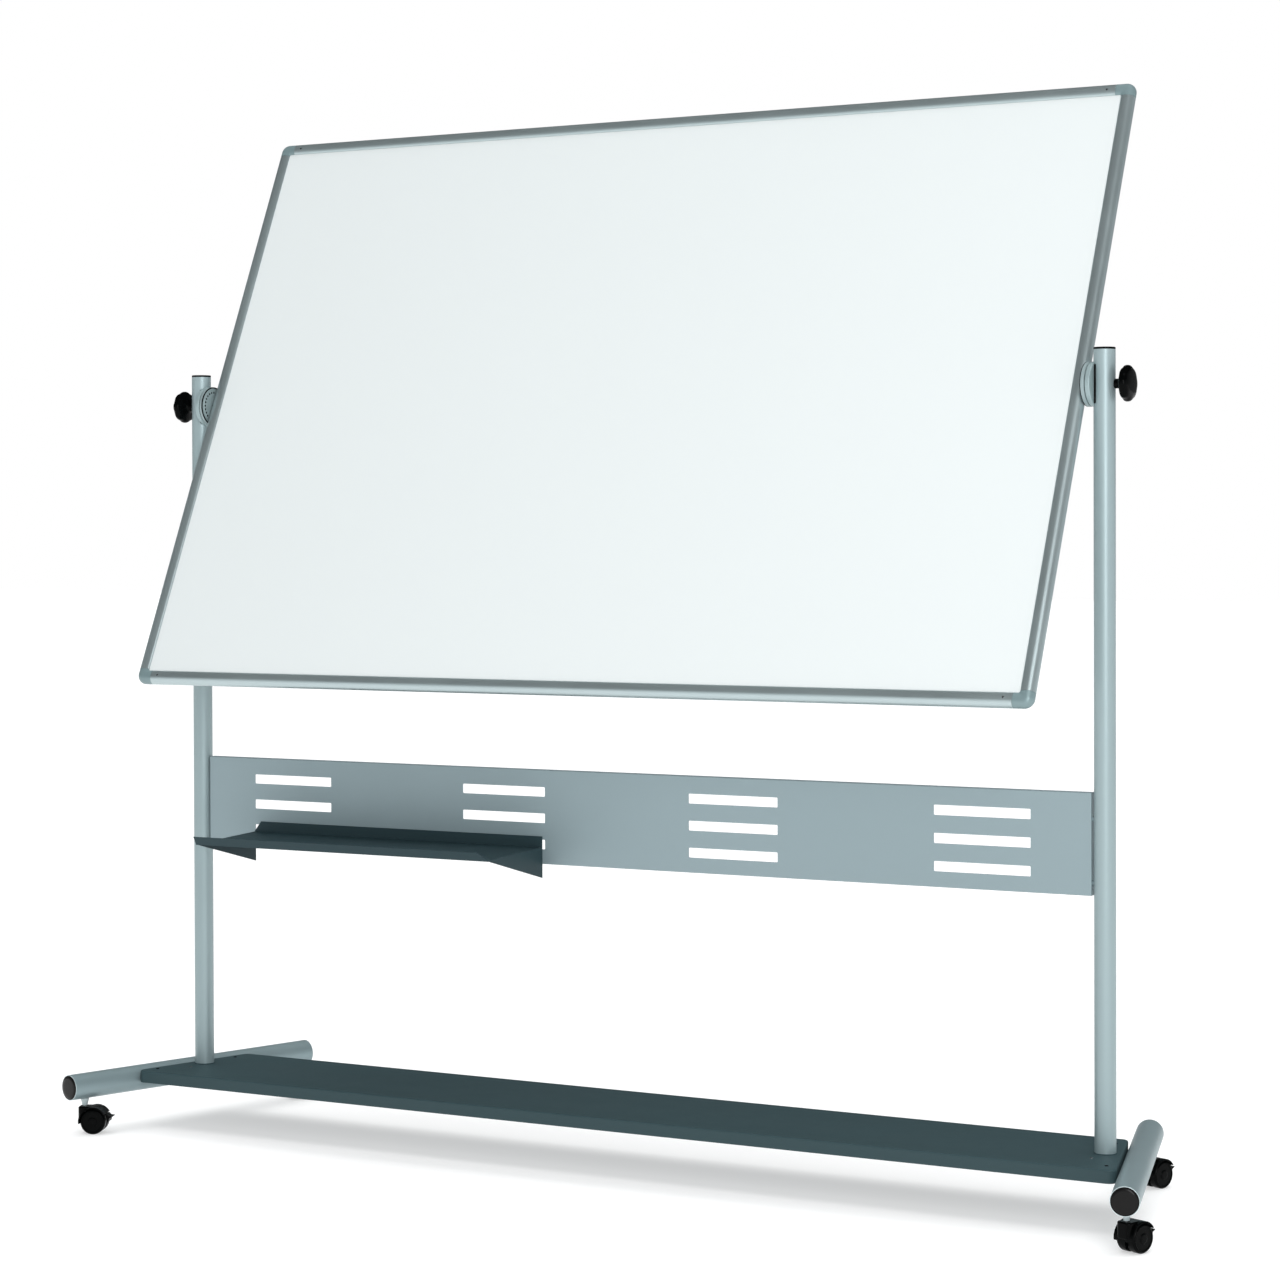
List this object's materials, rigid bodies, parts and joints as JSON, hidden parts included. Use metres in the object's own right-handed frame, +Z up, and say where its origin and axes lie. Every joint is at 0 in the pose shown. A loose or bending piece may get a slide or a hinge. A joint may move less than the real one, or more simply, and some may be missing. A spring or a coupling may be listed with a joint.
{
  "type": "rolling whiteboard",
  "caption": "Mobile revolving whiteboard: a two-sided board clamped between round posts on a folded base with round feet and braked casters, with a slotted panel and hook-on marker tray.",
  "frame": {"origin": "on the floor, under the middle of the whole object's box", "axes": "+X along the board to the writer's right, +Z up, -Y towards the writer; the board is at rest tilted 24.2 degrees, its top edge away from the writer"},
  "size_m": [2.2564, 0.595, 1.9944],
  "materials": {
    "silver_paint": "satin silver-grey powder coat on steel tube and sheet",
    "slate_paint": "satin dark slate-grey powder coat on folded sheet steel",
    "aluminium_trim": "satin anodised aluminium extrusion",
    "white_enamel": "glossy white writing surface on thin steel sheet",
    "chipboard": "raw chipboard, hidden between the two writing surfaces",
    "grey_plastic": "moulded light grey plastic, satin",
    "black_plastic": "moulded black plastic, semi-gloss",
    "wheel_plastic": "moulded black plastic wheel, satin tread",
    "foot_cap_plastic": "moulded brown-black plastic plug, satin",
    "zinc_steel": "bright zinc-plated steel"
  },
  "bodies": {
    "stand": {"left_post": "silver_paint", "left_post_cap": "black_plastic", "left_post_disc": "silver_paint", "left_foot": "silver_paint", "right_post": "silver_paint", "right_post_cap": "black_plastic", "right_post_disc": "silver_paint", "right_foot": "silver_paint", "left_front_foot_cap": "foot_cap_plastic", "left_front_socket": "grey_plastic", "left_rear_foot_cap": "foot_cap_plastic", "left_rear_socket": "grey_plastic", "right_front_foot_cap": "foot_cap_plastic", "right_front_socket": "grey_plastic", "right_rear_foot_cap": "foot_cap_plastic", "right_rear_socket": "grey_plastic", "cross_panel": "silver_paint", "base_plate": "slate_paint"},
    "board": {"board_core": "chipboard", "front_writing_surface": "white_enamel", "back_writing_surface": "white_enamel", "frame_top": "aluminium_trim", "frame_bottom": "aluminium_trim", "frame_left": "aluminium_trim", "frame_right": "aluminium_trim", "corner_cap_top_right": "grey_plastic", "corner_cap_top_left": "grey_plastic", "corner_cap_bottom_right": "grey_plastic", "corner_cap_bottom_left": "grey_plastic", "left_board_disc": "aluminium_trim", "right_board_disc": "aluminium_trim"},
    "left_clamp": {"left_knob": "black_plastic", "left_pivot_bolt": "zinc_steel"},
    "right_clamp": {"right_knob": "black_plastic", "right_pivot_bolt": "zinc_steel"},
    "tray": {"marker_tray": "slate_paint"},
    "left_front_swivel": {"left_front_caster_stem": "zinc_steel", "left_front_caster_hood": "black_plastic", "left_front_caster_axle": "zinc_steel"},
    "left_front_wheel_a": {"left_front_wheel_a": "wheel_plastic"},
    "left_front_wheel_b": {"left_front_wheel_b": "wheel_plastic"},
    "left_front_brake": {"left_front_brake_lever": "black_plastic"},
    "left_rear_swivel": {"left_rear_caster_stem": "zinc_steel", "left_rear_caster_hood": "black_plastic", "left_rear_caster_axle": "zinc_steel"},
    "left_rear_wheel_a": {"left_rear_wheel_a": "wheel_plastic"},
    "left_rear_wheel_b": {"left_rear_wheel_b": "wheel_plastic"},
    "left_rear_brake": {"left_rear_brake_lever": "black_plastic"},
    "right_front_swivel": {"right_front_caster_stem": "zinc_steel", "right_front_caster_hood": "black_plastic", "right_front_caster_axle": "zinc_steel"},
    "right_front_wheel_a": {"right_front_wheel_a": "wheel_plastic"},
    "right_front_wheel_b": {"right_front_wheel_b": "wheel_plastic"},
    "right_front_brake": {"right_front_brake_lever": "black_plastic"},
    "right_rear_swivel": {"right_rear_caster_stem": "zinc_steel", "right_rear_caster_hood": "black_plastic", "right_rear_caster_axle": "zinc_steel"},
    "right_rear_wheel_a": {"right_rear_wheel_a": "wheel_plastic"},
    "right_rear_wheel_b": {"right_rear_wheel_b": "wheel_plastic"},
    "right_rear_brake": {"right_rear_brake_lever": "black_plastic"}
  },
  "joints": [
    {"name": "board_turn", "type": "hinge", "parent": "stand", "child": "board", "pos_m": [0, -0.02207, 1.442], "axis": [1, 0, 0], "continuous": true},
    {"name": "left_clamp_screw", "type": "hinge", "parent": "stand", "child": "left_clamp", "pos_m": [-1, -0.02207, 1.442], "axis": [-1, 0, 0], "range_deg": [0, 720]},
    {"name": "right_clamp_screw", "type": "hinge", "parent": "stand", "child": "right_clamp", "pos_m": [1, -0.02207, 1.442], "axis": [1, 0, 0], "range_deg": [0, 720]},
    {"name": "tray_unhook", "type": "slide", "parent": "stand", "child": "tray", "axis": [0, -0.8192, 0.5736], "range_m": [0, 0.05]},
    {"name": "left_front_swivel_turn", "type": "hinge", "parent": "stand", "child": "left_front_swivel", "pos_m": [-1.09287, -0.24661, 0.06], "axis": [0, 0, 1], "continuous": true},
    {"name": "left_front_wheel_a_spin", "type": "hinge", "parent": "left_front_swivel", "child": "left_front_wheel_a", "pos_m": [-1.0746, -0.23847, 0.025], "axis": [-0.4067, 0.9135, 0], "continuous": true},
    {"name": "left_front_wheel_b_spin", "type": "hinge", "parent": "left_front_swivel", "child": "left_front_wheel_b", "pos_m": [-1.0746, -0.23847, 0.025], "axis": [-0.4067, 0.9135, 0], "continuous": true},
    {"name": "left_front_brake_press", "type": "hinge", "parent": "left_front_swivel", "child": "left_front_brake", "pos_m": [-1.05268, -0.22871, 0.04], "axis": [-0.4067, 0.9135, 0], "range_deg": [0, 10.5]},
    {"name": "left_rear_swivel_turn", "type": "hinge", "parent": "stand", "child": "left_rear_swivel", "pos_m": [-0.94818, 0.24661, 0.06], "axis": [0, 0, 1], "continuous": true},
    {"name": "left_rear_wheel_a_spin", "type": "hinge", "parent": "left_rear_swivel", "child": "left_rear_wheel_a", "pos_m": [-0.93532, 0.26193, 0.025], "axis": [-0.766, 0.6428, 0], "continuous": true},
    {"name": "left_rear_wheel_b_spin", "type": "hinge", "parent": "left_rear_swivel", "child": "left_rear_wheel_b", "pos_m": [-0.93532, 0.26193, 0.025], "axis": [-0.766, 0.6428, 0], "continuous": true},
    {"name": "left_rear_brake_press", "type": "hinge", "parent": "left_rear_swivel", "child": "left_rear_brake", "pos_m": [-0.9199, 0.28031, 0.04], "axis": [-0.766, 0.6428, 0], "range_deg": [0, 10.5]},
    {"name": "right_front_swivel_turn", "type": "hinge", "parent": "stand", "child": "right_front_swivel", "pos_m": [1.09287, -0.24661, 0.06], "axis": [0, 0, 1], "continuous": true},
    {"name": "right_front_wheel_a_spin", "type": "hinge", "parent": "right_front_swivel", "child": "right_front_wheel_a", "pos_m": [1.10004, -0.22793, 0.025], "axis": [-0.9336, 0.3584, 0], "continuous": true},
    {"name": "right_front_wheel_b_spin", "type": "hinge", "parent": "right_front_swivel", "child": "right_front_wheel_b", "pos_m": [1.10004, -0.22793, 0.025], "axis": [-0.9336, 0.3584, 0], "continuous": true},
    {"name": "right_front_brake_press", "type": "hinge", "parent": "right_front_swivel", "child": "right_front_brake", "pos_m": [1.10864, -0.20553, 0.04], "axis": [-0.9336, 0.3584, 0], "range_deg": [0, 10.5]},
    {"name": "right_rear_swivel_turn", "type": "hinge", "parent": "stand", "child": "right_rear_swivel", "pos_m": [0.94818, 0.24661, 0.06], "axis": [0, 0, 1], "continuous": true},
    {"name": "right_rear_wheel_a_spin", "type": "hinge", "parent": "right_rear_swivel", "child": "right_rear_wheel_a", "pos_m": [0.95535, 0.26528, 0.025], "axis": [-0.9336, 0.3584, 0], "continuous": true},
    {"name": "right_rear_wheel_b_spin", "type": "hinge", "parent": "right_rear_swivel", "child": "right_rear_wheel_b", "pos_m": [0.95535, 0.26528, 0.025], "axis": [-0.9336, 0.3584, 0], "continuous": true},
    {"name": "right_rear_brake_press", "type": "hinge", "parent": "right_rear_swivel", "child": "right_rear_brake", "pos_m": [0.96395, 0.28768, 0.04], "axis": [-0.9336, 0.3584, 0], "range_deg": [0, 10.5]}
  ]
}
